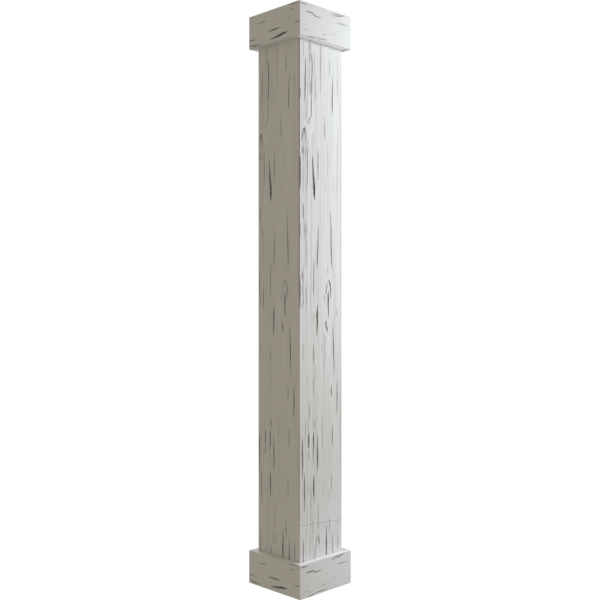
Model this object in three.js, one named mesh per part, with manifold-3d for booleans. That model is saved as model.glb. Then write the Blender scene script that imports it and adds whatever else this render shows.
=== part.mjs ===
// Square column wrap: a hollow square shaft of four mitred boards that closes round a post,
// with a plain collar of four mitred boards round its head and another round its foot.
// The boards are cast with the long narrow pits of pecky cypress, upright on the shaft and
// lying level on the collars.
// Millimetres, +Z up, origin at the middle of the underside, front face towards -Y.
import * as THREE from 'three';
import { mergeVertices } from 'three/addons/utils/BufferGeometryUtils.js';
import Module from 'manifold-3d';

const wasm = await Module();
wasm.setup();

// Driving dimensions
const HEIGHT = 2438.4; // an eight foot wrap
const SHAFT_WIDTH = 254; // a ten inch wrap
const SHAFT_BOARD = 25.4; // thickness, which leaves an eight inch square way for the post
const COLLAR_WIDTH = 311.15; // twelve and a quarter inches
const COLLAR_HEIGHT = 139.7; // a five and a half inch board
const JOINT_GAP = 0.3; // glue line between neighbouring boards
const ARRIS = 1; // easing along every outer edge

// Off-white primer, the same on every board
const PRIMER = { color: 0xe2e2de, roughness: 0.7, metalness: 0 };

// Pits
const PIT_SIDES = 6;
const PIT_RINGS = 4;

// Every shaft board is cut from the same cast plank. The front and back boards are cut this
// much further across it than the side boards.
const FRONT_CUT = 8;

// Pits of the shaft plank: the middle's distance across from the plank's left edge and up from
// the floor, the pit's length and width, how far its top leans to the right, where it is widest,
// from -1 at its foot to 1 at its top, and its depth as a share of its width.
const SHAFT_PITS = [
  { across: 31, up: 2130, length: 195, width: 6, lean: 6, belly: 0, deep: 0.7 },
  { across: 71, up: 2158, length: 176, width: 5.5, lean: 2, belly: 0.2, deep: 0.3 },
  { across: 179, up: 2209, length: 88, width: 4, lean: 0, belly: 0, deep: 0.25 },
  { across: 229, up: 2131, length: 88, width: 4, lean: 0, belly: 0, deep: 0.25 },
  { across: 196, up: 2092, length: 165, width: 6, lean: 3, belly: -0.35, deep: 0.5 },
  { across: 148, up: 1946, length: 105, width: 5, lean: -2, belly: -0.5, deep: 0.25 },
  { across: 45, up: 1775, length: 168, width: 4, lean: 0, belly: 0.5, deep: 0.45 },
  { across: 81, up: 1732, length: 190, width: 11, lean: -10, belly: -0.6, deep: 1.4 },
  { across: 107, up: 1785, length: 146, width: 6, lean: 0, belly: 0, deep: 0.25 },
  { across: 39, up: 1509, length: 55, width: 5, lean: 0, belly: 0, deep: 0.4 },
  { across: 188, up: 1477, length: 250, width: 6, lean: -7, belly: -0.5, deep: 0.6 },
  { across: 107, up: 1445, length: 188, width: 6, lean: 7, belly: -0.4, deep: 0.6 },
  { across: 82, up: 1307, length: 172, width: 5, lean: 0, belly: 0, deep: 0.45 },
  { across: 185, up: 1261, length: 76, width: 5, lean: -3, belly: 0, deep: 0.6 },
  { across: 39, up: 1230, length: 124, width: 6, lean: 0, belly: 0, deep: 0.25 },
  { across: 171, up: 1197, length: 116, width: 7, lean: -4, belly: 0.4, deep: 0.75 },
  { across: 103, up: 1130, length: 138, width: 8, lean: 3, belly: 0.35, deep: 1.2 },
  { across: 159, up: 1108, length: 48, width: 9, lean: -9, belly: -0.2, deep: 1.1 },
  { across: 203, up: 1014, length: 230, width: 5, lean: -10, belly: 0, deep: 0.25 },
  { across: 82, up: 992, length: 86, width: 5, lean: 0, belly: -0.5, deep: 0.4 },
  { across: 190, up: 833, length: 54, width: 6, lean: -2, belly: -0.3, deep: 0.35 },
  { across: 225, up: 801, length: 166, width: 6, lean: 0, belly: 0, deep: 0.25 },
  { across: 88, up: 700, length: 48, width: 5, lean: 0, belly: 0, deep: 0.25 },
  { across: 197, up: 643, length: 92, width: 6, lean: 0, belly: 0.1, deep: 0.5 },
  { across: 51.5, up: 634, length: 70, width: 7.5, lean: 0, belly: 0, deep: 1 },
  { across: 52, up: 577, length: 44, width: 5, lean: 0, belly: 0, deep: 0.25 },
  { across: 81, up: 622, length: 92, width: 7, lean: 1, belly: 0.2, deep: 1 },
  { across: 105, up: 578, length: 164, width: 7, lean: 0, belly: -0.35, deep: 0.8 },
  { across: 15, up: 565, length: 182, width: 7, lean: 1, belly: 0.1, deep: 0.85 },
  { across: 191, up: 438, length: 106, width: 4, lean: 0, belly: 0.2, deep: 0.25 },
  { across: 83, up: 430, length: 118, width: 9, lean: -3, belly: 0.35, deep: 1.05 },
  { across: 27, up: 424, length: 168, width: 6, lean: 0, belly: 0.1, deep: 1 },
  { across: 111, up: 308, length: 136, width: 5, lean: 0, belly: -0.3, deep: 0.4 },
  { across: 179, up: 261, length: 92, width: 4, lean: 0, belly: 0, deep: 0.25 },
  { across: 113, up: 213, length: 42, width: 7, lean: -6, belly: 0, deep: 1.2 },
  { across: 159, up: 170, length: 200, width: 6.5, lean: 1, belly: 0.1, deep: 0.6 },
  { across: 230, up: 182, length: 92, width: 5, lean: 0, belly: 0, deep: 0.25 },
  { across: 20, up: 152, length: 172, width: 6, lean: 4, belly: 0, deep: 0.65 },
  { across: 198, up: 150, length: 160, width: 6, lean: 0, belly: 0, deep: 0.25 },
  { across: 89, up: 140, length: 115, width: 5, lean: 2, belly: 0, deep: 0.5 },
];

// Pits that break the shaft's front right corner and the one behind it, on both boards that meet
// there, with their middle this far in from the corner.
const CORNER_INSET = 2;
const CORNER_DEEP = 0.9;
const CORNER_PITS = [
  { up: 2072, length: 46, width: 5 },
  { up: 1745, length: 140, width: 8 },
  { up: 1505, length: 60, width: 5 },
  { up: 1250, length: 120, width: 6 },
];

// Pits of the collar plank, which lies level and is long enough for two boards, the front and
// then the right: the middle's distance along it and up from its lower edge, the length and
// width, how far the right-hand end rises, where the pit is widest, from -1 at its left end to 1
// at its right end, and its depth as a share of its width.
const COLLAR_PITS = [
  { along: 82, up: 99, length: 58, width: 5, rise: 4, belly: 0.3, deep: 0.45 },
  { along: 157, up: 53, length: 84, width: 6, rise: 0, belly: 0, deep: 0.55 },
  { along: 182, up: 21, length: 110, width: 11, rise: 15, belly: 0.4, deep: 0.65 },
  { along: 262, up: 114, length: 36, width: 5, rise: 3, belly: 0, deep: 0.4 },
  { along: 293, up: 54, length: 36, width: 6, rise: 0, belly: 0.2, deep: 0.5 },
  { along: 22, up: 36, length: 56, width: 5, rise: -5, belly: -0.3, deep: 0.5 },
  { along: 38, up: 11, length: 84, width: 6, rise: -6, belly: -0.3, deep: 0.6 },
  { along: 274, up: 134.5, length: 66, width: 4.5, rise: 2, belly: 0, deep: 0.5 },
  { along: 334, up: 129.5, length: 50, width: 6, rise: -2, belly: -0.3, deep: 0.5 },
  { along: 346, up: 25, length: 46, width: 4, rise: -3, belly: 0, deep: 0.4 },
  { along: 368, up: 103, length: 56, width: 6, rise: 2, belly: 0.4, deep: 0.6 },
  { along: 415, up: 94.5, length: 58, width: 5, rise: 1, belly: -0.3, deep: 0.55 },
  { along: 380, up: 4, length: 58, width: 5, rise: 4, belly: -0.2, deep: 0.55 },
  { along: 438, up: 9, length: 80, width: 5, rise: 0, belly: 0.3, deep: 0.5 },
  { along: 457, up: 31, length: 28, width: 4, rise: 3, belly: 0, deep: 0.4 },
  { along: 513, up: 42, length: 28, width: 4, rise: 4, belly: 0, deep: 0.4 },
  { along: 522, up: 132, length: 66, width: 4.5, rise: 12, belly: -0.2, deep: 0.5 },
  { along: 541, up: 128, length: 88, width: 6.5, rise: 18, belly: 0.4, deep: 0.6 },
  { along: 566, up: 97, length: 84, width: 6, rise: -2, belly: 0, deep: 0.45 },
];

// The four sides, as turns about the column's axis from the front one, which faces -Y.
const SIDES = [
  { name: 'front', turn: 0, frontPair: true },
  { name: 'right', turn: Math.PI / 2, frontPair: false },
  { name: 'back', turn: Math.PI, frontPair: true },
  { name: 'left', turn: -Math.PI / 2, frontPair: false },
];

// A closed geometry as a solid that can be cut.
function solidOf(geometry) {
  geometry.deleteAttribute('normal');
  geometry.deleteAttribute('uv');
  const merged = mergeVertices(geometry);
  return new wasm.Manifold(new wasm.Mesh({
    numProp: 3,
    vertProperties: new Float32Array(merged.attributes.position.array),
    triVerts: new Uint32Array(merged.index.array),
  }));
}

// A cut solid as a geometry with flat faces.
function geometryOf(solid) {
  const mesh = solid.getMesh();
  const indexed = new THREE.BufferGeometry();
  indexed.setAttribute('position', new THREE.BufferAttribute(mesh.vertProperties, 3));
  indexed.setIndex(new THREE.BufferAttribute(mesh.triVerts, 1));
  const geometry = indexed.toNonIndexed();
  geometry.computeVertexNormals();
  return geometry;
}

// Plan of a front board: its outer face at -outer, its inner face at -inner, a mitre at each end
// set back by half the glue line, and half of the eased corner beside each mitre.
function mitredPlan(outer, inner) {
  const setBack = JOINT_GAP / Math.SQRT2;
  const right = [
    [outer - ARRIS - setBack, -outer],
    [outer - ARRIS / 2 - setBack, -outer + ARRIS / 2],
    [inner - setBack, -inner],
  ];
  const left = right.map(([x, y]) => [-x, y]).reverse();
  return new THREE.Shape([...right, ...left].map(([x, y]) => new THREE.Vector2(x, y)));
}

function uprightBoard(outer, inner, height) {
  const plan = mitredPlan(outer, inner);
  return solidOf(new THREE.ExtrudeGeometry(plan, { depth: height, bevelEnabled: false }));
}

// A long bar along X whose section eases the top and bottom outer edges of a collar board.
function easedBar(outer, inner, height) {
  const section = new THREE.Shape([
    new THREE.Vector2(-outer, ARRIS),
    new THREE.Vector2(-outer + ARRIS, 0),
    new THREE.Vector2(-inner + ARRIS, 0),
    new THREE.Vector2(-inner + ARRIS, height),
    new THREE.Vector2(-outer + ARRIS, height),
    new THREE.Vector2(-outer, height - ARRIS),
  ]);
  const bar = new THREE.ExtrudeGeometry(section, { depth: 2 * outer, bevelEnabled: false });
  const alongX = new THREE.Matrix4().makeBasis(
    new THREE.Vector3(0, 1, 0),
    new THREE.Vector3(0, 0, 1),
    new THREE.Vector3(1, 0, 0),
  );
  bar.applyMatrix4(alongX).translate(-outer, 0, 0);
  return solidOf(bar);
}

// Slides the widest ring of a unit spindle along Z to the belly, with both tips kept in place.
function slideBelly(spindle, belly) {
  const places = spindle.attributes.position;
  for (let i = 0; i < places.count; i += 1) {
    const z = places.getZ(i);
    places.setZ(i, belly + z * (z > 0 ? 1 - belly : 1 + belly));
  }
}

// What a pit takes out of a front board: a spindle along Z whose axis lies on the outer face,
// with steep sides and a keel, turned about the face's normal.
function pitCutter({ x, z, outer, length, width, belly, deep, angle }) {
  const sideReach = Math.cos(Math.PI / PIT_SIDES);
  const spindle = new THREE.SphereGeometry(1, PIT_SIDES, PIT_RINGS);
  spindle.rotateX(Math.PI / 2).rotateZ(Math.PI / PIT_SIDES);
  slideBelly(spindle, belly);
  spindle.scale(width / 2 / sideReach, width * deep, length / 2);
  spindle.rotateY(angle).translate(x, -outer, z);
  return solidOf(spindle);
}

function cutPits(board, pits) {
  return pits.reduce((cut, pit) => cut.subtract(pitCutter(pit)), board);
}

// Pits of the shaft plank that fall on a board cut at this distance across it, and those of its
// broken corner, at its right edge for 1 and its left edge for -1.
function shaftPits(outer, cut, brokenEdge) {
  const onPlank = SHAFT_PITS.map(({ across, up, lean, ...shape }) => ({
    ...shape,
    x: across - cut - outer,
    z: up,
    outer,
    angle: Math.asin(lean / shape.length),
  }));
  const onCorner = CORNER_PITS.map(({ up, ...shape }) => ({
    ...shape,
    x: brokenEdge * (outer - CORNER_INSET),
    z: up,
    outer,
    belly: 0,
    deep: CORNER_DEEP,
    angle: 0,
  }));
  return [...onPlank, ...onCorner];
}

// Pits of the collar plank that fall on a board cut from this place along it.
function collarPits(outer, cut) {
  return COLLAR_PITS.filter(({ along }) => along > cut && along < cut + COLLAR_WIDTH)
    .map(({ along, up, rise, ...shape }) => ({
      ...shape,
      x: along - cut - outer,
      z: up,
      outer,
      angle: Math.PI / 2 - Math.asin(rise / shape.length),
    }));
}

function shaftBoard(side) {
  const outer = SHAFT_WIDTH / 2;
  const blank = uprightBoard(outer, outer - SHAFT_BOARD, HEIGHT);
  const pits = side.frontPair ? shaftPits(outer, FRONT_CUT, 1) : shaftPits(outer, 0, -1);
  return cutPits(blank, pits);
}

function collarBoard(side) {
  const outer = COLLAR_WIDTH / 2;
  const inner = SHAFT_WIDTH / 2 + JOINT_GAP;
  const blank = uprightBoard(outer, inner, COLLAR_HEIGHT)
    .intersect(easedBar(outer, inner, COLLAR_HEIGHT));
  return cutPits(blank, collarPits(outer, side.frontPair ? 0 : COLLAR_WIDTH));
}

// Four boards round the axis, their lower edge at this height.
function ring(name, makeBoard, bottom) {
  const group = new THREE.Group();
  group.position.z = bottom;
  for (const side of SIDES) {
    const material = new THREE.MeshStandardMaterial(PRIMER);
    const board = new THREE.Mesh(geometryOf(makeBoard(side)), material);
    board.name = `${name}_board_${side.name}`;
    board.rotation.z = side.turn;
    group.add(board);
  }
  return group;
}

const column = new THREE.Group();
column.add(
  ring('shaft', shaftBoard, 0),
  ring('capital', collarBoard, HEIGHT - COLLAR_HEIGHT),
  ring('base', collarBoard, 0),
);

export default column;
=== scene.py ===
# %% [markdown]
# A square column wrap
#
# A column wrap is a hollow casing that closes round a plain structural post. This one is made of
# boards cast from a plank of pecky cypress, a timber full of long narrow pits, and primed off-white:
# four tall boards make the shaft, and a collar of four short boards goes round its head and its foot.
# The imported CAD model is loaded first. It fixes every size and place, and each board made below
# stands in for one of its nodes.

# %% Load the frame
from math import cos, pi, radians, sin, sqrt

import bpy
import numpy as np
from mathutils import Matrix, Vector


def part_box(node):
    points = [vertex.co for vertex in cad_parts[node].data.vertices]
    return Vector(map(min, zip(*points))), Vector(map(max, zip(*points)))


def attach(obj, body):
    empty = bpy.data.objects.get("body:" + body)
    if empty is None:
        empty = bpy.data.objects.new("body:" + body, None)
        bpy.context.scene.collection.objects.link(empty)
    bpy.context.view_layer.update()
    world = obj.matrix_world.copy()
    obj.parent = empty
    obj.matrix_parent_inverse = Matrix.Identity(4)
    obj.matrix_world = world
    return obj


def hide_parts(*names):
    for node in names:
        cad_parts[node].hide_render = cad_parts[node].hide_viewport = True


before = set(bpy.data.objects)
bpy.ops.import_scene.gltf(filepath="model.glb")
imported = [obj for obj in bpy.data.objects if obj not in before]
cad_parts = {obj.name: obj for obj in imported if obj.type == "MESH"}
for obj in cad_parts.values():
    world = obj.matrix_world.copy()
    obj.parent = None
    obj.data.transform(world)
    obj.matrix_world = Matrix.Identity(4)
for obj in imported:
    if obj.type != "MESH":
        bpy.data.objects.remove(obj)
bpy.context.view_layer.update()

MM = 0.001
shaft_low, shaft_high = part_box("shaft_board_front")
collar_low, collar_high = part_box("base_board_front")
capital_low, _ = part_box("capital_board_front")
HEIGHT = shaft_high.z
SHAFT_OUTER = -shaft_low.y
SHAFT_INNER = -shaft_high.y
COLLAR_OUTER = -collar_low.y
COLLAR_INNER = -collar_high.y
COLLAR_HEIGHT = collar_high.z
CAPITAL_BOTTOM = capital_low.z
print(f"column {HEIGHT:.4f} m tall")
print(f"shaft {2 * SHAFT_OUTER:.3f} m and collars {2 * COLLAR_OUTER:.3f} m square")

# %% [markdown]
# The camera
#
# The picture looks straight at a corner of the column, level with the middle of its height, so both
# visible faces lean away by the same 45 degrees and the verticals stay parallel. The distance and
# the focal length come from how fast the collars' edges converge. Setting the camera before any
# modelling means that every later render can be laid over the picture.

# %% Set up the camera
IMAGE_PIXELS = 600
FOCAL_PIXELS = 861
SENSOR_MM = 36
VIEW_TURN = radians(45)
VIEW_DISTANCE = 3.7145

bpy.ops.object.select_all(action="DESELECT")
view_place = (VIEW_DISTANCE * sin(VIEW_TURN), -VIEW_DISTANCE * cos(VIEW_TURN), HEIGHT / 2)
bpy.ops.object.camera_add(location=view_place, rotation=(pi / 2, 0, VIEW_TURN))
camera = bpy.context.object
camera.name = "corner_view"
camera.data.sensor_width = SENSOR_MM
camera.data.lens = FOCAL_PIXELS / IMAGE_PIXELS * SENSOR_MM
bpy.context.scene.camera = camera
print(f"camera {VIEW_DISTANCE} m away with a {camera.data.lens:.1f} mm lens")

# %% [markdown]
# Floor and light
#
# The studio is plain. A soft key light stands on the right, above the head of the column, whose
# overhang throws a short shadow on the shaft. A stronger lamp rakes the lit face from behind at half
# height, so that every ridge and pit in it shows, and also reaches the underside of the head. A weak
# one close to the foot stands for what a white floor throws back. The shaded face gets only the
# room's warm light. A back light does for the two far sides what the key does for the near ones. The
# floor glows just white to the camera and is kept out of the bounced light, so that the shaded face
# stays as grey as it is in the picture. A brighter one would eat into the column's outline. The lamps
# are hidden from the camera too.

# %% Lay the floor
FLOOR_SIZE = 60
FLOOR_GLOW = 1.02

bpy.ops.mesh.primitive_plane_add(size=FLOOR_SIZE)
floor = bpy.context.object
floor.name = "studio_floor"
floor_paint = bpy.data.materials.new("studio_white")
floor_paint.use_nodes = True
floor_shader = floor_paint.node_tree.nodes["Principled BSDF"]
floor_shader.inputs["Base Color"].default_value = (0, 0, 0, 1)
floor_shader.inputs["Roughness"].default_value = 1
floor_shader.inputs["Specular IOR Level"].default_value = 0
floor_shader.inputs["Emission Color"].default_value = (1, 1, 1, 1)
floor_shader.inputs["Emission Strength"].default_value = FLOOR_GLOW
floor.data.materials.append(floor_paint)
floor.visible_diffuse = False
floor.visible_glossy = False
print(f"floor {FLOOR_SIZE} m square")

# %% Hang the lights
KEY_PLACE = (0.99, 0.79, 2.55)
KEY_SIZE = 0.5
KEY_WATTS = 13.2
KEY_COLOUR = (0.81, 0.895, 1.0)
RAKE_PLACE = (0.49, 1.42, 1.3)
RAKE_SIZE = 0.5
RAKE_WATTS = 28.8
FOOT_PLACE = (0.61, 0.19, 0.14)
FOOT_SIZE = 0.2
FOOT_AIM = 0.1
FOOT_WATTS = 0.6
FLOOR_COLOUR = (0.72, 0.83, 1.0)
BACK_PLACE = (-2.4, 1.3, 2.3)
BACK_SIZE = 1.4
BACK_WATTS = 45


def hang_softbox(name, place, size, watts, colour, aim=HEIGHT / 2):
    """A square area light at this place, turned to the column's axis at this height."""
    bpy.ops.object.light_add(type="AREA", location=place)
    softbox = bpy.context.object
    softbox.name = name
    towards = softbox.location.copy()
    towards.z -= aim
    softbox.rotation_euler = towards.to_track_quat("Z", "Y").to_euler()
    softbox.data.size = size
    softbox.data.energy = watts
    softbox.data.color = colour
    softbox.visible_camera = False
    return softbox


hang_softbox("key_light", KEY_PLACE, KEY_SIZE, KEY_WATTS, KEY_COLOUR)
rake_light = hang_softbox("rake_light", RAKE_PLACE, RAKE_SIZE, RAKE_WATTS, KEY_COLOUR)
hang_softbox("foot_light", FOOT_PLACE, FOOT_SIZE, FOOT_WATTS, FLOOR_COLOUR, FOOT_AIM)
hang_softbox("back_light", BACK_PLACE, BACK_SIZE, BACK_WATTS, KEY_COLOUR)
print("key, rake and foot lights on the right, back light behind")

# %% Light the room
ROOM_GLOW = 0.39
ROOM_TINT = (1.0, 0.925, 0.8, 1)
ROOM_WHITE = 1.02

bpy.context.scene.view_settings.view_transform = "Standard"
room = bpy.data.worlds.new("white_room")
bpy.context.scene.world = room
room.use_nodes = True
room_nodes = room.node_tree.nodes
room_links = room.node_tree.links
glow = room_nodes["Background"]
glow.inputs["Color"].default_value = ROOM_TINT
glow.inputs["Strength"].default_value = ROOM_GLOW
seen = room_nodes.new("ShaderNodeBackground")
seen.inputs["Color"].default_value = (1, 1, 1, 1)
seen.inputs["Strength"].default_value = ROOM_WHITE
path = room_nodes.new("ShaderNodeLightPath")
choose = room_nodes.new("ShaderNodeMixShader")
room_links.new(path.outputs["Is Camera Ray"], choose.inputs["Fac"])
room_links.new(glow.outputs["Background"], choose.inputs[1])
room_links.new(seen.outputs["Background"], choose.inputs[2])
room_links.new(choose.outputs["Shader"], room_nodes["World Output"].inputs["Surface"])
print(f"room seen as white, and glowing at {ROOM_GLOW}")

# %% [markdown]
# Soft noise
#
# Cast timber is never regular, so the grain, the pits' ragged edges and the worn corners all need
# something random that stays the same at every run. This is value noise: random heights on a
# lattice, joined by smooth steps. The cell is long one way and narrow the other, which is what turns
# noise into grain. A noise texture could be read from nodes instead, but plain numbers are easier to
# combine before they become mesh.

# %% Make noise
NOISE_KNOTS = 256


def smooth_step(value):
    """Ease from 0 to 1, level at both ends."""
    clipped = np.clip(value, 0, 1)
    return clipped * clipped * (3 - 2 * clipped)


def soft_noise(across, along, across_cell, along_cell, seed):
    """Smooth random heights from -1 to 1, with cells of this size."""
    knots = np.random.default_rng(seed).uniform(-1, 1, (NOISE_KNOTS, NOISE_KNOTS))
    column = np.floor(across / across_cell).astype(int)
    row = np.floor(along / along_cell).astype(int)
    right = smooth_step(across / across_cell - column)
    up = smooth_step(along / along_cell - row)
    low = knots[row % NOISE_KNOTS, column % NOISE_KNOTS] * (1 - right)
    low += knots[row % NOISE_KNOTS, (column + 1) % NOISE_KNOTS] * right
    high = knots[(row + 1) % NOISE_KNOTS, column % NOISE_KNOTS] * (1 - right)
    high += knots[(row + 1) % NOISE_KNOTS, (column + 1) % NOISE_KNOTS] * right
    return low * (1 - up) + high * up


every_mm = np.arange(HEIGHT / MM)
sample = soft_noise(every_mm, every_mm, across_cell=15, along_cell=330, seed=1)
print(f"noise runs from {sample.min():.2f} to {sample.max():.2f}")

# %% [markdown]
# Pits and grooves
#
# Pecky cypress is eaten by a fungus into spindle-shaped pockets that follow the grain. Each one here
# has its middle, length, width and lean in millimetres on the plank, its belly, which is where it is
# widest, from -1 at its foot to 1 at its top, its depth as a share of its width, and how dark the shade
# painted into it is. Grooves are the finer marks, too shallow for the solids: they run from one end to
# the other.
# A hoop is grain that turns round a knot. All of them could be sculpted by hand, stroke by stroke.
# Worked out as depths they stay sharp, and every board that is cut from a plank gets its marks.

# %% Shaft pits
SHAFT_PITS = [
    # across, up, length, width, lean, belly, deep, dark
    (31, 2130, 195, 6, 6, 0, 0.7, 0.55),
    (71, 2158, 176, 5.5, 2, 0.2, 0.3, 0.95),
    (179, 2209, 88, 4, 0, 0, 0.1, 0.6),
    (229, 2131, 88, 4, 0, 0, 0.25, 0.35),
    (196, 2092, 165, 6, 3, -0.35, 0.5, 0.65),
    (148, 1946, 105, 5, -2, -0.5, 0.25, 0.5),
    (45, 1775, 168, 4, 0, 0.5, 0.45, 0.7),
    (81, 1732, 190, 11, -10, -0.6, 1.4, 0.95),
    (107, 1785, 146, 6, 0, 0, 0.25, 0.5),
    (39, 1509, 55, 5, 0, 0, 0.4, 0.25),
    (188, 1477, 250, 6, -7, -0.5, 0.6, 0.65),
    (107, 1445, 188, 6, 7, -0.4, 0.6, 0.6),
    (82, 1307, 172, 5, 0, 0, 0.45, 0.5),
    (185, 1261, 76, 5, -3, 0, 0.6, 0.75),
    (39, 1230, 124, 6, 0, 0, 0.15, 0.45),
    (171, 1197, 116, 7, -4, 0.4, 0.75, 1),
    (103, 1130, 138, 8, 3, 0.35, 1.2, 0.8),
    (159, 1108, 48, 9, -9, -0.2, 1.1, 0.4),
    (203, 1014, 230, 5, -10, 0, 0.25, 1),
    (82, 992, 86, 5, 0, -0.5, 0.45, 0.35),
    (190, 833, 54, 6, -2, -0.3, 0.35, 0.5),
    (225, 801, 166, 6, 0, 0, 0.2, 0.75),
    (88, 700, 48, 5, 0, 0, 0.15, 0.5),
    (197, 643, 92, 6, 0, 0.1, 0.5, 0.45),
    (51.5, 634, 70, 7.5, 0, 0, 1, 0.8),
    (52, 577, 44, 5, 0, 0, 0.25, 0.7),
    (81, 622, 92, 7, 1, 0.2, 1, 0.9),
    (105, 578, 164, 7, 0, -0.35, 0.8, 0.7),
    (15, 565, 182, 7, 1, 0.1, 0.85, 0.75),
    (191, 438, 106, 4, 0, 0.2, 0.2, 0.6),
    (83, 430, 118, 9, -3, 0.35, 1.05, 0.78),
    (27, 424, 168, 6, 0, 0.1, 1, 0.85),
    (111, 308, 136, 5, 0, -0.3, 0.4, 0.25),
    (179, 261, 92, 4, 0, 0, 0.1, 0.7),
    (113, 213, 42, 7, -6, 0, 1.2, 0.3),
    (159, 170, 200, 6.5, 1, 0.1, 0.45, 1),
    (230, 182, 92, 5, 0, 0, 0.2, 0.6),
    (20, 152, 172, 6, 4, 0, 0.65, 0.45),
    (198, 150, 160, 6, 0, 0, 0.2, 0.65),
    (89, 140, 115, 5, 2, 0, 0.5, 0.4),
]
print(len(SHAFT_PITS), "pits on the shaft plank")

# %% Shaft grooves and hoops
SHAFT_GROOVES = [
    # across at the top, top, across at the foot, foot, width, deep
    (124, 2390, 124, 2080, 4, 0.6),
    (57, 2322, 62, 2242, 4, 0.7),
    (60, 2264, 70, 2200, 4, 0.8),
    (70, 2142, 70, 2042, 4, 1.3),
    (70, 2064, 66, 2008, 4, 1.3),
    (66, 2022, 70, 1978, 4, 0.9),
    (64, 1990, 52, 1962, 4, 0.8),
    (52, 1974, 51, 1944, 4, 0.8),
    (19, 2292, 19, 2212, 6, 0.2),
    (54, 2284, 54, 2182, 4, 0.5),
    (54, 2196, 54, 2128, 4, 0.5),
    (61, 2138, 61, 2066, 4, 0.8),
    (86, 2258, 85, 2162, 3, 0.4),
    (82, 2182, 94, 2138, 3, 0.4),
    (94, 2152, 94, 2045, 4, 0.45),
    (46, 2148, 46, 2040, 3, 0.45),
    (46, 2054, 39, 1996, 3, 0.5),
    (38, 2008, 40, 1974, 4, 0.6),
    (46, 1902, 46, 1815, 3, 0.35),
    (44, 1735, 40, 1650, 3, 0.4),
    (22, 1884, 21, 1786, 4, 0.5),
    (228, 2255, 228, 2172, 3, 0.2),
    (15, 1850, 15, 1822, 5, 0.9),
    (32, 1850, 32, 1812, 4, 0.5),
    (23, 1810, 22, 1650, 4, 0.35),
    (83, 1925, 83, 1830, 6, 0.12),
    (230, 1975, 226, 1620, 4, 0.2),
    (167, 1880, 167, 1740, 4, 0.22),
    (198, 1750, 198, 1668, 3, 0.25),
    (155, 1712, 155, 1672, 4, 0.25),
    (123, 1622, 123, 1598, 4, 0.15),
    (19, 1622, 22, 1552, 5, 1),
    (23, 1560, 27, 1470, 4, 0.5),
    (39, 1482, 39, 1345, 4, 0.35),
    (13, 1340, 18, 1285, 5, 0.6),
    (18, 1290, 11, 1252, 4, 1),
    (13, 1258, 23, 1226, 4, 0.8),
    (23, 1232, 13, 1186, 4, 0.75),
    (167, 1372, 167, 1325, 4, 0.25),
    (147, 1248, 147, 1210, 4, 0.4),
    (82, 1170, 82, 1122, 4, 0.3),
    (150, 1090, 148, 912, 4, 0.35),
    (23, 1052, 23, 960, 4, 0.4),
    (223, 1178, 223, 1148, 4, 0.4),
    (130, 1032, 130, 998, 4, 0.25),
    (90, 952, 92, 868, 6, 0.15),
    (82, 902, 82, 812, 4, 0.4),
    (45, 902, 45, 852, 4, 0.25),
    (57, 795, 57, 726, 4, 0.4),
    (34, 725, 34, 638, 4, 0.25),
    (47, 712, 50, 655, 4, 0.4),
    (135, 732, 135, 580, 4, 0.3),
    (244, 722, 244, 640, 4, 0.12),
    (80, 590, 80, 525, 6, 0.25),
    (63, 445, 62, 350, 4, 0.2),
    (48, 465, 48, 395, 6, 0.2),
    (173, 420, 174, 360, 4, 0.3),
    (140, 455, 136, 375, 5, 0.2),
    (76, 300, 76, 242, 4, 0.35),
    (99, 234, 99, 176, 4, 0.6),
    (229, 300, 230, 215, 4, 0.25),
]
SHAFT_HOOPS = [
    # across, top, half width, drop, width, deep
    (24, 1928, 10, 62, 4, 0.9),
    (171, 1296, 15, 60, 5, 0.4),
]
print(len(SHAFT_GROOVES), "grooves and", len(SHAFT_HOOPS), "hoops on the shaft plank")

# %% Collar pits and grooves
COLLAR_PITS = [
    # up, along, length, width, rise, belly, deep, dark
    (99, 82, 58, 5, 4, 0.3, 0.45, 0.65),
    (53, 157, 84, 6, 0, 0, 0.55, 1),
    (21, 182, 110, 11, 15, 0.4, 0.65, 1),
    (114, 262, 36, 5, 3, 0, 0.4, 0.5),
    (54, 293, 36, 6, 0, 0.2, 0.5, 0.65),
    (36, 22, 56, 5, -5, -0.3, 0.5, 0.65),
    (11, 38, 84, 6, -6, -0.3, 0.6, 0.75),
    (134.5, 274, 66, 4.5, 2, 0, 0.5, 0.7),
    (129.5, 334, 50, 6, -2, -0.3, 0.5, 0.75),
    (25, 346, 46, 4, -3, 0, 0.4, 0.35),
    (103, 368, 56, 6, 2, 0.4, 0.6, 0.95),
    (94.5, 415, 58, 5, 1, -0.3, 0.55, 0.9),
    (4, 380, 58, 5, 4, -0.2, 0.55, 0.9),
    (9, 438, 80, 5, 0, 0.3, 0.5, 0.85),
    (31, 457, 28, 4, 3, 0, 0.4, 0.6),
    (42, 513, 28, 4, 4, 0, 0.4, 0.4),
    (132, 522, 66, 4.5, 12, -0.2, 0.5, 0.7),
    (128, 541, 88, 6.5, 18, 0.4, 0.6, 0.85),
    (97, 566, 84, 6, -2, 0, 0.45, 0.55),
]
COLLAR_GROOVES = [
    # up at one end, along, up at the other end, along, width, deep
    (105, 192, 103, 222, 4, 0.4),
    (72, 240, 73, 256, 4, 0.5),
    (70, 150, 72, 182, 4, 0.3),
    (75, 464, 76, 476, 4, 0.5),
    (46, 320, 48, 336, 4, 0.25),
    (98, 330, 104, 350, 4, 0.3),
    (120, 495, 112, 540, 4, 0.25),
    (47, 35, 44, 52, 4, 0.4),
    (2, 60, 3, 118, 4, 0.4),
    (1, 14, 2, 54, 4, 0.8),
    (104, 380, 93, 404, 5, 1),
    (6, 388, 7.5, 440, 4, 0.6),
]
print(len(COLLAR_PITS), "pits and", len(COLLAR_GROOVES), "grooves on the collar plank")
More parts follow.
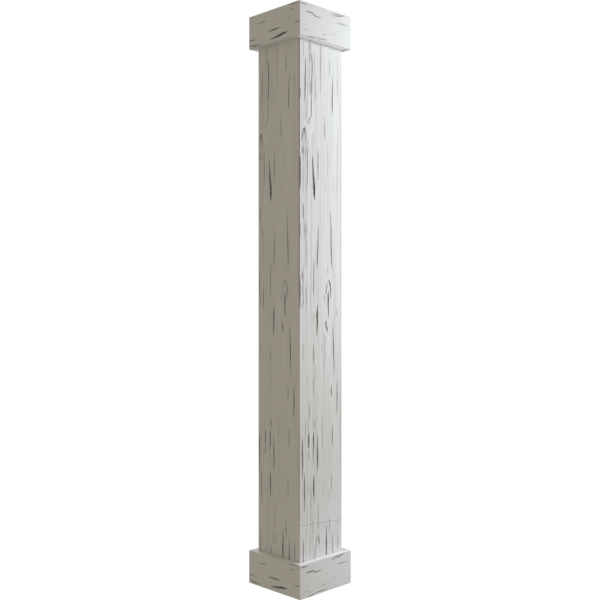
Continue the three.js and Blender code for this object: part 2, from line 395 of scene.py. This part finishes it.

# %% [markdown]
# Pressing the plank
#
# A mould presses every mark into the board's face at once. Here the same thing is done with numbers:
# a relief holds a depth in millimetres and a painted shade from 0 to 1 for every vertex of the face,
# and each mark is pressed into it in turn. A mark's section is a trough with steep sides, and beside it
# the fibres stand up in a low rim. The shade painted into a trough deeper than it is wide reaches right
# up its walls, and in a shallower one it is paler near its edges. On one wall of a level trough the
# painted shade can be lightened, as painted light. Cutting every mark with a Boolean would break up
# the face, and pressing keeps its even grid.

# %% Relief of a board
TROUGH = 3
THIN = 0.01
HALF_WAY = 0.5
RIM_RISE = 0.35
RIM_WIDTH = 1.4
RIM_FULL = 1
PAINTED_SHADE_STEEP = 2
PAINTED_SHADE_POWER = 4
PAINTED_SHADE_START = 0.4


class Relief:
    """Depth and painted shade of every vertex of a face, by its place on the plank in millimetres."""

    def __init__(self, across, along, painted_lit_wall=0):
        """The last argument is the share of the pits' painted shade taken off the wall that looks up,
        or off the one that looks down if negative, as painted light.
        """
        self.across = across
        self.along = along
        self.painted_lit_wall = painted_lit_wall
        self.depth = np.zeros_like(across)
        self.rim = np.zeros_like(across)
        self.stain_and_painted_shade = np.zeros_like(across)

    def press(self, near, off, half, width, share, deep, dark):
        """Press a trough into the vertices near it, off this far from its middle line, and paint shade
        into it.
        """
        half = np.maximum(half, THIN)
        # Painted light: one wall, up or down as the sign says, loses this share of its painted shade.
        painted_light = abs(self.painted_lit_wall) * smooth_step(HALF_WAY - np.sign(self.painted_lit_wall) * off / half)
        off = np.abs(off)
        trough = np.clip(1 - (off / half) ** TROUGH, 0, 1)
        self.depth[near] = np.maximum(self.depth[near], deep * width * share * trough)
        lip = np.exp(-((off - half - RIM_WIDTH) / RIM_WIDTH) ** 2) * np.minimum(half, RIM_FULL)
        self.rim[near] = np.maximum(self.rim[near], RIM_RISE * lip)
        # Painted shade: dark low in the trough, and right up the walls of one deeper than it is wide.
        steep = PAINTED_SHADE_STEEP * max(deep, 1) ** PAINTED_SHADE_POWER
        shade = dark * share * (1 - painted_light) * smooth_step(steep * trough - PAINTED_SHADE_START)
        self.stain_and_painted_shade[near] = np.maximum(self.stain_and_painted_shade[near], shade)


print(f"rims stand up to {RIM_RISE} mm beside a trough")

# %% [markdown]
# Pits, grooves and hoops as troughs
#
# A pit's outline swells from a point to its belly and runs out to a point again. Its middle line
# wanders a little and each of its edges is ragged on its own, so that no two look turned on a lathe.
# A groove is a shallow pit with blunter ends. A hoop goes round half an ellipse instead of along a
# line, and its two feet fade away.

# %% Press a pit
PIT_TAPER = 0.6
WANDER = 1.0
WANDER_CELL = 34
RAGGED = 0.25
RAGGED_CELL = 16
OTHER_EDGE = 128


def press_pit(relief, across, along, length, width, lean, belly, deep, dark, seed, power=PIT_TAPER):
    """A spindle-shaped trough, widest at its belly, whose far end leans this much."""
    near = np.abs(relief.along - along) < length / 2
    place = (relief.along[near] - along) / (length / 2)
    share = (place - belly) / np.where(place > belly, 1 - belly, 1 + belly)
    taper = (1 - share * share) ** power
    wander = soft_noise(np.full_like(place, seed), relief.along[near], 1, WANDER_CELL, seed)
    off = relief.across[near] - across - lean * place / 2 - WANDER * wander
    edge = np.where(off > 0, seed, seed + OTHER_EDGE)
    ragged = soft_noise(edge, relief.along[near], 1, RAGGED_CELL, seed + 1)
    half = width / 2 * taper * (1 + RAGGED * ragged)
    relief.press(near, off, half, width, taper, deep, dark)


deepest_pit = max(width * deep for _, _, _, width, _, _, deep, _ in SHAFT_PITS)
print(f"deepest pit {deepest_pit:.1f} mm")

# %% Press a groove or a hoop
GROOVE_TAPER = 0.5
GROOVE_SHARE = 0.7
# A groove's or hoop's painted shade is this share of its deep.
GROOVE_PAINTED_SHADE = 0.6
HOOP_FADE = 3


def press_groove(relief, across, along, far_across, far_along, width, deep, seed):
    """A shallow pit from one end to the other."""
    length = abs(far_along - along)
    lean = (far_across - across) * np.sign(far_along - along)
    middle = (across + far_across) / 2, (along + far_along) / 2
    belly = 0
    shape = (*middle, length, width, lean, belly)
    press_pit(relief, *shape, GROOVE_SHARE * deep, GROOVE_PAINTED_SHADE * deep, seed, GROOVE_TAPER)


def press_hoop(relief, across, top, half_width, drop, width, deep):
    """Grain that rises, turns over a knot and falls again."""
    foot = top - drop
    near = (relief.along > foot) & (relief.along < top + width)
    side = (relief.across[near] - across) / half_width
    up = (relief.along[near] - foot) / drop
    off = np.abs(np.hypot(side, up) - 1) * half_width
    fade = smooth_step(HOOP_FADE * up)
    relief.press(near, off, width / 2 * fade, width, fade, deep, GROOVE_PAINTED_SHADE * deep)


deepest_groove = max(GROOVE_SHARE * width * deep for *_, width, deep in SHAFT_GROOVES)
print(f"deepest groove {deepest_groove:.1f} mm")

# %% [markdown]
# Grain
#
# Between the pits the face is combed by the grain: broad hollows, ridges about a finger wide and fine
# streaks, all drawn out along the board. Round a knot the grain swells aside, which is done by
# bending the coordinate across the board before the noise is read. Veins are fine scratches that
# follow the figure of the wood. They are found where a stretched noise passes through zero, as the
# contour lines of a map are, so they wander, part and close again as real ones do.

# %% Bend the grain round knots
SHAFT_KNOTS = [
    # across, up, reach across, reach along
    (52, 1968, 16, 90),
    (171, 1225, 18, 80),
    (24, 1905, 12, 70),
    (159, 1108, 12, 50),
    (52, 640, 10, 60),
    (113, 212, 12, 50),
]
KNOT_PUSH = 1.1


def bend_round_knots(across, along, knots):
    """Where each vertex would lie across the plank if no knot had pushed the grain aside."""
    bent = across.copy()
    for middle, up, reach, tall in knots:
        away = (across - middle) / reach
        swell = np.exp(-((along - up) / tall) ** 2)
        bent -= KNOT_PUSH * reach * away / (1 + away * away) * swell
    return bent


print(len(SHAFT_KNOTS), "knots in the shaft plank")

# %% Veins as depths
VEIN_LAYERS = [
    # width, length, depth
    (26, 700, 1.2),
    (13, 420, 0.9),
    (8, 300, 0.6),
]
VEIN_HALF = 1.1
VEIN_STEP = 2
VEIN_STEEP = 0.03
VEIN_FADE = (70, 380)
VEIN_PATCHES = [
    # across, up, reach across, reach along
    (55, 2140, 42, 210),
    (30, 1780, 34, 260),
    (28, 1400, 26, 260),
    (60, 600, 45, 200),
    (60, 300, 45, 170),
]
VEIN_FLOOR = 0.12
VEIN_SEED = 60


def vein_lines(bent, along):
    """How deep the veins are at each vertex, in millimetres."""
    strength = np.full_like(bent, VEIN_FLOOR)
    for middle, up, reach, tall in VEIN_PATCHES:
        strength += np.exp(-((bent - middle) / reach) ** 2 - ((along - up) / tall) ** 2)
    deep = np.zeros_like(bent)
    for layer, (width, length, depth) in enumerate(VEIN_LAYERS):
        seed = VEIN_SEED + 2 * layer
        before, figure, after = (soft_noise(bent + step, along, width, length, seed)
                                 for step in (-VEIN_STEP, 0, VEIN_STEP))
        steep = np.abs(after - before) / (2 * VEIN_STEP)
        off = np.abs(figure) / np.maximum(steep, VEIN_STEEP)
        broken = smooth_step(HALF_WAY + soft_noise(bent, along, *VEIN_FADE, seed + 1))
        fade = broken * smooth_step(steep / VEIN_STEEP)
        deep = np.maximum(deep, depth * fade * np.exp(-((off / VEIN_HALF) ** 2)))
    return deep * np.minimum(strength, 1)


print(f"{len(VEIN_LAYERS)} layers of veins, thickest in {len(VEIN_PATCHES)} patches")

# %% Comb the grain
GRAIN_LAYERS = [
    # width, length, depth
    (48, 620, 0.4),
    (15, 330, 0.28),
    (6, 170, 0.16),
    (2.6, 90, 0.08),
]
GRAIN_HEIGHT = sum(deep for _, _, deep in GRAIN_LAYERS)
GRAIN_BASE = 0.7
GRAIN_SEED = 40
VEIN_PAINTED_SHADE = 0.15
VEIN_DARKENS = 3


def add_grain(relief, knots, strength, veined):
    """Comb the whole face, and return how high each vertex lies in the grain, about -1 to 1."""
    bent = bend_round_knots(relief.across, relief.along, knots)
    height = np.zeros_like(bent)
    for layer, (width, length, deep) in enumerate(GRAIN_LAYERS):
        height += strength * deep * soft_noise(bent, relief.along, width, length, GRAIN_SEED + layer)
    relief.depth += np.clip(strength * GRAIN_BASE - height - relief.rim, 0, None)
    if veined:
        veins = vein_lines(bent, relief.along)
        relief.depth += veins
        # Painted shade in the veins.
        relief.stain_and_painted_shade = np.maximum(relief.stain_and_painted_shade, VEIN_PAINTED_SHADE * smooth_step(VEIN_DARKENS * veins))
    return height / GRAIN_HEIGHT


print(f"grain stands up to {GRAIN_HEIGHT:.2f} mm proud or deep")

# %% [markdown]
# A board blank
#
# Every board is the same shape in section: an outer face, half of an eased corner, a mitre back to
# the inner face. By hand that is a grid for the face, whose border is extruded back and scaled ring
# by ring, and a fill at the end. The grid's cells are narrow across the grain and long with it, since
# that is how the relief runs.

# %% Blank from a grid
ARRIS = 1 * MM
GLUE_LINE = 0.3 * MM
GLUE_SET_BACK = GLUE_LINE / sqrt(2)


def pick(board):
    """Deselect everything, then select this board alone and make it the active one."""
    bpy.ops.object.select_all(action="DESELECT")
    board.select_set(True)
    bpy.context.view_layer.objects.active = board


def extrude_ring(step_in, wide, tall, middle):
    """Extrude the selected border inwards and scale it across and up."""
    bpy.ops.mesh.extrude_region_move(TRANSFORM_OT_translate={"value": (0, step_in, 0)})
    bpy.ops.transform.resize(value=(wide, 1, tall), center_override=(0, 0, middle))


def board_blank(name, outer, inner, height, eased_ends, columns, rows):
    """A mitred front board that stands on the floor, with a fine grid on its outer face."""
    ease = ARRIS if eased_ends else 0
    middle = height / 2
    half_face = outer - ARRIS - GLUE_SET_BACK
    half_corner = half_face + ARRIS / 2
    half_back = inner - GLUE_SET_BACK
    tall = height - 2 * ease
    bpy.ops.object.select_all(action="DESELECT")
    bpy.ops.mesh.primitive_grid_add(x_subdivisions=columns, y_subdivisions=rows, size=1,
                                    location=(0, -outer, middle), rotation=(pi / 2, 0, 0))
    board = bpy.context.object
    board.name = name
    board.data.name = name
    board.scale = (2 * half_face, tall, 1)
    bpy.ops.object.transform_apply()
    pick(board)
    bpy.ops.object.mode_set(mode="EDIT")
    bpy.ops.mesh.select_mode(type="EDGE")
    bpy.ops.mesh.select_all(action="SELECT")
    bpy.ops.mesh.region_to_loop()
    extrude_ring(ARRIS / 2, half_corner / half_face, (tall + ease) / tall, middle)
    if eased_ends:
        extrude_ring(ARRIS / 2, half_face / half_corner, (tall + 2 * ease) / (tall + ease), middle)
        half_corner = half_face
    back_step = outer - inner - (ARRIS if eased_ends else ARRIS / 2)
    extrude_ring(back_step, half_back / half_corner, 1, middle)
    bpy.ops.mesh.edge_face_add()
    bpy.ops.mesh.select_all(action="SELECT")
    bpy.ops.mesh.normals_make_consistent(inside=False)
    bpy.ops.object.mode_set(mode="OBJECT")
    return board


SHAFT_COLUMNS = 270
SHAFT_ROWS = 334
COLLAR_COLUMNS = 124
COLLAR_ROWS = 112
shaft_blank = board_blank("shaft_blank", SHAFT_OUTER, SHAFT_INNER, HEIGHT, False,
                          SHAFT_COLUMNS, SHAFT_ROWS)
collar_blank = board_blank("collar_blank", COLLAR_OUTER, COLLAR_INNER, COLLAR_HEIGHT, True,
                           COLLAR_COLUMNS, COLLAR_ROWS)
for blank in (shaft_blank, collar_blank):
    print(blank.name, [round(size, 4) for size in blank.dimensions], len(blank.data.polygons), "faces")

# %% [markdown]
# Moving the face
#
# The depths have to become mesh. A Displace modifier could push vertices in along one axis, but at a
# bitten corner they also have to slide along the mitre, so the move is stored as a vector on each
# vertex and a two-node Geometry Nodes modifier adds it to the position. Applying the modifier leaves
# a plain mesh, and the stain with its painted shade, and the grain, stay on it as attributes for the
# paint to read.

# %% Press modifier
press_nodes = bpy.data.node_groups.new("press_face", "GeometryNodeTree")
press_nodes.interface.new_socket(name="Geometry", in_out="INPUT", socket_type="NodeSocketGeometry")
press_nodes.interface.new_socket(name="Geometry", in_out="OUTPUT", socket_type="NodeSocketGeometry")
blank_in = press_nodes.nodes.new("NodeGroupInput")
pressed_out = press_nodes.nodes.new("NodeGroupOutput")
stored_move = press_nodes.nodes.new("GeometryNodeInputNamedAttribute")
stored_move.data_type = "FLOAT_VECTOR"
stored_move.inputs["Name"].default_value = "press"
set_position = press_nodes.nodes.new("GeometryNodeSetPosition")
press_nodes.links.new(blank_in.outputs["Geometry"], set_position.inputs["Geometry"])
press_nodes.links.new(stored_move.outputs["Attribute"], set_position.inputs["Offset"])
press_nodes.links.new(set_position.outputs["Geometry"], pressed_out.inputs["Geometry"])
print("press modifier with", len(press_nodes.nodes), "nodes, its ends among them")

# %% Move a board's vertices
SMOOTH_ANGLE = radians(60)


def vertex_places(board):
    """The place of every vertex, one row each."""
    places = np.empty(3 * len(board.data.vertices))
    board.data.vertices.foreach_get("co", places)
    return places.reshape(-1, 3)


def store(board, name, kind, values):
    """Keep one value for every vertex as an attribute of the mesh."""
    field = "vector" if kind == "FLOAT_VECTOR" else "value"
    attribute = board.data.attributes.new(name, kind, "POINT")
    attribute.data.foreach_set(field, np.ascontiguousarray(values, dtype=np.float32).ravel())


def move_face(board, moves, stain_and_painted_shade, grain):
    """Move every vertex by its row of moves, in millimetres, and keep the paint's attributes."""
    store(board, "press", "FLOAT_VECTOR", moves * MM)
    store(board, "stain_and_painted_shade", "FLOAT", stain_and_painted_shade)
    store(board, "grain", "FLOAT", grain)
    modifier = board.modifiers.new("press", "NODES")
    modifier.node_group = press_nodes
    pick(board)
    bpy.ops.object.modifier_apply(modifier=modifier.name)
    board.data.attributes.remove(board.data.attributes["press"])
    bpy.ops.object.shade_smooth_by_angle(angle=SMOOTH_ANGLE)


for blank in (shaft_blank, collar_blank):
    print(blank.name, "has", len(vertex_places(blank)), "vertices to move")

# %% [markdown]
# Bitten corners
#
# In a few places a pocket breaks the upright corner itself. Both boards that meet there lose the same
# bite, so their mitres stay flush. The border of the face slides back along the mitre and the columns
# beside it close up to make room. For much of the height a thin dark line also runs beside the mitre,
# on the front and back boards. It shows no depth, so it is only a stain.

# %% Corner bites
CORNER_PITS = [
    # up, length, width, dark
    (2072, 46, 3, 0.7),
    (1745, 140, 8, 0.6),
    (1505, 60, 3, 0.65),
    (1250, 130, 5, 0.65),
]
BITE_SHARE = 0.45
BITE_SEED = 90


def corner_bite(up):
    """How far the corner is bitten back at this height, and how dark the shade painted into the bite
    is.
    """
    bite = np.zeros_like(up)
    shade = np.zeros_like(up)
    ragged = soft_noise(np.zeros_like(up), up, 1, RAGGED_CELL, BITE_SEED)
    for middle, length, width, dark in CORNER_PITS:
        place = np.clip((up - middle) / (length / 2), -1, 1)
        deep = BITE_SHARE * width * np.sqrt(1 - place * place) * (1 + RAGGED * ragged)
        bite = np.maximum(bite, deep)
        shade = np.maximum(shade, dark * smooth_step(deep))
    return bite, shade


deepest_bite = corner_bite(every_mm)[0].max()
print(f"deepest corner bite {deepest_bite:.1f} mm")

# %% Line beside the mitre
MITRE_LINES = [
    # foot, top, dark
    (1205, 2440, 0.43),
    (270, 725, 0.25),
]
MITRE_WIDTH = 14
MITRE_SOFT = 80


def mitre_line(up, inside):
    """Stain of the thin dark line beside the mitre, this far up and in from the corner."""
    dark = np.zeros_like(up)
    for foot, top, stain_and_painted_shade in MITRE_LINES:
        dark = np.maximum(dark, stain_and_painted_shade * smooth_step(np.minimum(up - foot, top - up) / MITRE_SOFT))
    return dark * smooth_step(1 - inside / MITRE_WIDTH)


print(f"mitre stained along {np.mean(mitre_line(every_mm, 0) > 0):.0%} of the height")

# %% [markdown]
# A hairline crack
#
# Low on the right-hand face a hairline runs across the grain, where the thin coat has cracked. It is
# too fine for the grid, so the face alone is cut along the crack and a little to either side of it,
# and the middle cut is then pressed in with everything else. Shade is painted into it as well.

# %% Cut and press the crack
NEAR = 1e-6
CRACK_ENDS = (289, 271)
CRACK_HALF = 1.4
CRACK_DEPTH = 0.7
CRACK_PAINTED_SHADE = 0.38
CRACK_SLOPE = (CRACK_ENDS[1] - CRACK_ENDS[0]) * MM / (2 * SHAFT_OUTER)


def crack_line(across):
    """How high the crack is, this far across the plank."""
    near, far = CRACK_ENDS
    return near + (far - near) * across * MM / (2 * SHAFT_OUTER)


def select_face(board):
    """Select only the polygons on the outer face of a front board of the shaft."""
    bpy.ops.object.mode_set(mode="EDIT")
    bpy.ops.mesh.select_mode(type="FACE")
    bpy.ops.mesh.select_all(action="DESELECT")
    bpy.ops.object.mode_set(mode="OBJECT")
    middles = np.empty(3 * len(board.data.polygons))
    board.data.polygons.foreach_get("center", middles)
    on_face = np.abs(middles.reshape(-1, 3)[:, 1] + SHAFT_OUTER) < NEAR
    board.data.polygons.foreach_set("select", on_face)


def cut_crack_lines(board):
    """Cut the face of a front board along the crack and along its two edges."""
    pick(board)
    for lift in (-CRACK_HALF, 0, CRACK_HALF):
        select_face(board)
        bpy.ops.object.mode_set(mode="EDIT")
        middle = (0, 0, (crack_line(SHAFT_OUTER / MM) + lift) * MM)
        bpy.ops.mesh.bisect(plane_co=middle, plane_no=(-CRACK_SLOPE, 0, 1))
        bpy.ops.object.mode_set(mode="OBJECT")


def press_crack(relief):
    """Open the hairline, which lies over everything else, and paint shade into it."""
    open_share = np.clip(1 - np.abs(relief.along - crack_line(relief.across)) / CRACK_HALF, 0, 1)
    relief.depth += CRACK_DEPTH * open_share
    # Painted shade in the crack.
    relief.stain_and_painted_shade = np.maximum(relief.stain_and_painted_shade, CRACK_PAINTED_SHADE * open_share)


print(f"crack from {CRACK_ENDS[0]} to {CRACK_ENDS[1]} mm up")

# %% [markdown]
# The shaft boards
#
# All four shaft boards are cut from one plank, the front and back ones a little further across it, so
# that every mark on them lies that much nearer to their left edge. The shade painted into their pits
# is set by how each face is lit: on the side boards the deep pits are painted darker and the shallow
# ones paler, and on the front and back ones it is the other way round. Each board is a copy of the
# blank, pressed as a front board and then turned to its side. The relief fades away at the mitres,
# which have to close, and at the head and foot, which the collars cover.

# %% Marks of a shaft board
# Painted light and shade on the pits, set board by board for how each face is lit.
FRONT_LIGHT_TILT = -0.2
SIDE_LIGHT_TILT = 0.2
LIGHT_TILT_SHALLOW = 0.3
LIGHT_TILT_DEEP = 1


def pit_dark(deep, dark, painted_light_tilt):
    """How dark a pit's painted shade is: darker by this share in deep pits and paler in shallow ones,
    to suit how its face is lit.
    """
    deep_share = smooth_step((deep - LIGHT_TILT_SHALLOW) / (LIGHT_TILT_DEEP - LIGHT_TILT_SHALLOW))
    return min(1, dark * (1 + painted_light_tilt * (2 * deep_share - 1)))


def shaft_marks(across, up, painted_light_tilt):
    """The shaft plank's pits, grooves and hoops at these vertices."""
    relief = Relief(across, up)
    for seed, (*shape, deep, dark) in enumerate(SHAFT_PITS):
        press_pit(relief, *shape, deep, pit_dark(deep, dark, painted_light_tilt), seed)
    for seed, groove in enumerate(SHAFT_GROOVES):
        press_groove(relief, *groove, seed + len(SHAFT_PITS))
    for hoop in SHAFT_HOOPS:
        press_hoop(relief, *hoop)
    return relief


SAMPLE_DARK = 0.5
for which, painted_light_tilt in (("front and back", FRONT_LIGHT_TILT), ("side", SIDE_LIGHT_TILT)):
    kept_dark = pit_dark(LIGHT_TILT_DEEP, SAMPLE_DARK, painted_light_tilt) / SAMPLE_DARK
    print(f"deep pits on the {which} boards are {kept_dark:.0%} as dark as on the plank")

# %% Press a shaft board
END_FADE = 60
EDGE_FADE = 5
MITRE_CLEARANCE = 0.4
BITE_SLOPE = 2.5
BITE_REACH = 25


def on_ring(places, y):
    """Which vertices lie this far forward."""
    return np.abs(places[:, 1] - y) < NEAR


def press_shaft(board, cut, bitten_end, painted_light_tilt, lined, cracked):
    """Press the shaft plank's face into a front board cut this far across it, with one end bitten."""
    places = vertex_places(board)
    x, up = places[:, 0] / MM, places[:, 2] / MM
    face = on_ring(places, -SHAFT_OUTER)
    corner = on_ring(places, -SHAFT_OUTER + ARRIS / 2)
    relief = shaft_marks(x[face] + SHAFT_OUTER / MM + cut, up[face], painted_light_tilt)
    grain = np.zeros_like(x)
    grain[face] = add_grain(relief, SHAFT_KNOTS, strength=1, veined=True)
    if cracked:
        press_crack(relief)
    fade = smooth_step(np.minimum(up, HEIGHT / MM - up) / END_FADE)
    bite, shade = corner_bite(up) * (x * bitten_end > 0)
    edge = SHAFT_OUTER / MM - np.abs(x)
    inside = np.clip(edge - edge[face].min(), 0, None)
    slide = np.where(face | corner, bite, 0) * np.clip(1 - inside / BITE_REACH, 0, 1) ** 2
    depth = np.zeros_like(x)
    depth[face] = relief.depth * fade[face] * smooth_step(inside[face] / EDGE_FADE)
    depth[face] = np.minimum(depth[face], (edge + slide)[face] - MITRE_CLEARANCE)
    depth[corner] = (bite * (edge < ARRIS / MM))[corner]
    stain_and_painted_shade = np.zeros_like(x)
    stain_and_painted_shade[face] = relief.stain_and_painted_shade
    # Painted shade in the bitten corner.
    bite_painted_shade = shade * (1 - smooth_step(inside / BITE_SLOPE)) * (face | corner)
    stain_and_painted_shade = np.maximum(stain_and_painted_shade, bite_painted_shade)
    if lined:
        line = mitre_line(up, inside) * (face | corner) * (x * bitten_end > 0)
        stain_and_painted_shade = np.maximum(stain_and_painted_shade, line)
    moves = np.stack([-np.sign(x) * slide, depth, np.zeros_like(x)], axis=1)
    move_face(board, moves, stain_and_painted_shade, grain)


print(f"relief fades over {EDGE_FADE} mm at the mitres and {END_FADE} mm at the ends")

# %% Make the shaft boards
FRONT_CUT = 8
SIDE_CUT = 0
LEFT_END = -1
RIGHT_END = 1
SIDE_TURNS = {"front": 0, "right": pi / 2, "back": pi, "left": -pi / 2}


def copy_of(board, name):
    """A copy of this board with a mesh of its own."""
    pick(board)
    bpy.ops.object.duplicate(linked=False)
    copy = bpy.context.object
    copy.name = name
    copy.data.name = name
    return copy


def turn_to_side(board, side, raise_by=0):
    """Turn a front board round the column's axis and lift it, with its place in its mesh."""
    board.rotation_euler.z = SIDE_TURNS[side]
    board.location.z = raise_by
    pick(board)
    bpy.ops.object.transform_apply()


boards = {}
for side in SIDE_TURNS:
    board = copy_of(shaft_blank, f"shaft_{side}")
    cracked = side == "right"
    if cracked:
        cut_crack_lines(board)
    if side in ("front", "back"):
        press_shaft(board, FRONT_CUT, RIGHT_END, FRONT_LIGHT_TILT, lined=True, cracked=cracked)
    else:
        press_shaft(board, SIDE_CUT, LEFT_END, SIDE_LIGHT_TILT, lined=False, cracked=cracked)
    turn_to_side(board, side)
    boards[f"shaft_board_{side}"] = board
    print(board.name, [round(size, 4) for size in board.dimensions])

# %% [markdown]
# The collar boards
#
# The collars come from a second plank, whose grain lies level, so the same functions serve with up
# and along changed over. The front and back boards are its first length and the other two its second.
# On the first, the pits' painted shade is half taken off the wall that looks up, as painted light,
# and on the second off the one that looks down. The lower edge is darkened to a faint line.

# %% Make the collar boards
COLLAR_GRAIN = 0.35
# Share of the pits' painted shade taken off one wall, as painted light.
PAINTED_LIT_WALL = 0.5
LOWER_EDGE_DARK = 0.25
UNDERSIDE_SHARE = 0.5
COLLAR_LENGTH = 2 * COLLAR_OUTER / MM


def press_collar(board, cut, painted_lit_wall):
    """Press the collar plank's face into a front board cut from this place along the plank."""
    places = vertex_places(board)
    x, up = places[:, 0] / MM, places[:, 2] / MM
    set_back = places[:, 1] / MM + COLLAR_OUTER / MM
    face = places[:, 1] < -COLLAR_OUTER + ARRIS + NEAR
    relief = Relief(up[face], x[face] + COLLAR_OUTER / MM + cut, painted_lit_wall)
    for seed, pit in enumerate(COLLAR_PITS):
        press_pit(relief, *pit, seed)
    for seed, groove in enumerate(COLLAR_GROOVES):
        press_groove(relief, *groove, seed + len(COLLAR_PITS))
    grain = np.zeros_like(x)
    grain[face] = add_grain(relief, [], COLLAR_GRAIN, veined=False)
    room_to_mitre = np.clip(COLLAR_OUTER / MM - np.abs(x) - set_back - MITRE_CLEARANCE, 0, None)
    depth = np.zeros_like(x)
    depth[face] = np.minimum(relief.depth, room_to_mitre[face])
    # Darker along the lower edge, half as much at its very bottom.
    lower_edge = face & (up < ARRIS / MM + THIN)
    lower_edge_share = UNDERSIDE_SHARE + (1 - UNDERSIDE_SHARE) * up * MM / ARRIS
    stain_and_painted_shade = np.where(lower_edge, LOWER_EDGE_DARK * lower_edge_share, 0)
    stain_and_painted_shade[face] = np.maximum(stain_and_painted_shade[face], relief.stain_and_painted_shade)
    moves = np.stack([np.zeros_like(x), depth, np.zeros_like(x)], axis=1)
    move_face(board, moves, stain_and_painted_shade, grain)


for ring, bottom in (("base", 0), ("capital", CAPITAL_BOTTOM)):
    for side in SIDE_TURNS:
        board = copy_of(collar_blank, f"{ring}_{side}")
        if side in ("front", "back"):
            press_collar(board, 0, PAINTED_LIT_WALL)
        else:
            press_collar(board, COLLAR_LENGTH, -PAINTED_LIT_WALL)
        turn_to_side(board, side, bottom)
        boards[f"{ring}_board_{side}"] = board
for blank in (shaft_blank, collar_blank):
    bpy.data.objects.remove(blank)
print(len(boards), "boards pressed")

# %% [markdown]
# Primer
#
# The boards are primed off-white and left matt. The paint is thin, so the grain shows through as
# faint streaks. The pits, grooves, veins, crack and bitten corners are painted dark, as painted shade.
# The grain attribute and a noise stretched along the grain shift the tone a little, and the attribute
# that holds the painted shade, with the dark lines beside the mitre and along the collars' lower
# edges, then mixes the dark in. The noise also gives the fine fibre in the bump and the roughness.
# A painted image could do all this too, but nodes stay sharp however near the camera comes.

# %% Mix the primer
PRIMER_WHITE = (0.80, 0.79, 0.77, 1)
PRIMER_SHADE = (0.70, 0.69, 0.66, 1)
# Painted shade of the marks, also the colour of the dark lines beside the mitre and along the lower
# edges.
PAINTED_SHADE_AND_STAIN = (0.05, 0.045, 0.04, 1)
PRIMER_SHINE = 0.3
GRAIN_TONE = 0.3
SMOOTHEST = 0.55
ROUGHEST = 0.85
FIBRE_DETAIL = 5
FIBRE_BUMP = 0.25
FIBRE_HEIGHT = 0.6 * MM
UPRIGHT_FIBRES = (260, 260, 9)
LEVEL_FIBRES = (14, 14, 260)


def primer(name, fibre_counts):
    """Matt off-white paint over grain, with painted shade in its marks and fibres of these counts per
    metre along x, y and z.
    """
    paint = bpy.data.materials.new(name)
    paint.use_nodes = True
    nodes = paint.node_tree.nodes
    links = paint.node_tree.links
    shader = nodes["Principled BSDF"]
    shader.inputs["Specular IOR Level"].default_value = PRIMER_SHINE
    coordinates = nodes.new("ShaderNodeTexCoord")
    stretch = nodes.new("ShaderNodeMapping")
    stretch.inputs["Scale"].default_value = fibre_counts
    fibres = nodes.new("ShaderNodeTexNoise")
    fibres.inputs["Scale"].default_value = 1
    fibres.inputs["Detail"].default_value = FIBRE_DETAIL
    grain = nodes.new("ShaderNodeAttribute")
    grain.attribute_name = "grain"
    stain_and_painted_shade = nodes.new("ShaderNodeAttribute")
    stain_and_painted_shade.attribute_name = "stain_and_painted_shade"
    streaks = nodes.new("ShaderNodeMath")
    streaks.operation = "MULTIPLY_ADD"
    streaks.inputs[1].default_value = GRAIN_TONE
    tone = nodes.new("ShaderNodeMix")
    tone.data_type = "RGBA"
    tone.inputs["A"].default_value = PRIMER_SHADE
    tone.inputs["B"].default_value = PRIMER_WHITE
    # Mixes in the painted shade of the marks, and the dark lines beside the mitre and along the lower
    # edges.
    dark = nodes.new("ShaderNodeMix")
    dark.data_type = "RGBA"
    dark.inputs["B"].default_value = PAINTED_SHADE_AND_STAIN
    rough = nodes.new("ShaderNodeMapRange")
    rough.inputs["To Min"].default_value = SMOOTHEST
    rough.inputs["To Max"].default_value = ROUGHEST
    bump = nodes.new("ShaderNodeBump")
    bump.inputs["Strength"].default_value = FIBRE_BUMP
    bump.inputs["Distance"].default_value = FIBRE_HEIGHT
    links.new(coordinates.outputs["Object"], stretch.inputs["Vector"])
    links.new(stretch.outputs["Vector"], fibres.inputs["Vector"])
    links.new(grain.outputs["Fac"], streaks.inputs[0])
    links.new(fibres.outputs["Fac"], streaks.inputs[2])
    links.new(streaks.outputs["Value"], tone.inputs["Factor"])
    links.new(tone.outputs["Result"], dark.inputs["A"])
    links.new(stain_and_painted_shade.outputs["Fac"], dark.inputs["Factor"])
    links.new(dark.outputs["Result"], shader.inputs["Base Color"])
    links.new(fibres.outputs["Fac"], rough.inputs["Value"])
    links.new(rough.outputs["Result"], shader.inputs["Roughness"])
    links.new(fibres.outputs["Fac"], bump.inputs["Height"])
    links.new(bump.outputs["Normal"], shader.inputs["Normal"])
    return paint


upright_primer = primer("primer_on_upright_grain", UPRIGHT_FIBRES)
level_primer = primer("primer_on_level_grain", LEVEL_FIBRES)
print("primer mixed for upright and level grain")

# %% [markdown]
# Hanging the boards
#
# Each board gets its paint, rides on the frame's one body and replaces the node that it stands for,
# which stays behind it for collision.

# %% Hang the boards on the frame
def triangle_count(board):
    """How many triangles the board's polygons make."""
    return sum(len(polygon.vertices) - 2 for polygon in board.data.polygons)


for node, board in boards.items():
    ring = node.split("_")[0]
    board.data.materials.append(upright_primer if ring == "shaft" else level_primer)
    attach(board, "root")
    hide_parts(node)
print(len(boards), "boards,", sum(triangle_count(board) for board in boards.values()), "triangles")

# %% [markdown]
# Flagging the raking light
#
# The raking light stands behind the column and would burn out the far side, which it meets head on. A
# photographer stands a black card, called a flag, in its way. Here light linking does the same: the
# light reaches only the boards that are named, and the back ones are left to the back light.

# %% Keep the raking light off the back
raked = bpy.data.collections.new("raked_boards")
for node, board in boards.items():
    if not node.endswith("back"):
        raked.objects.link(board)
rake_light.light_linking.receiver_collection = raked
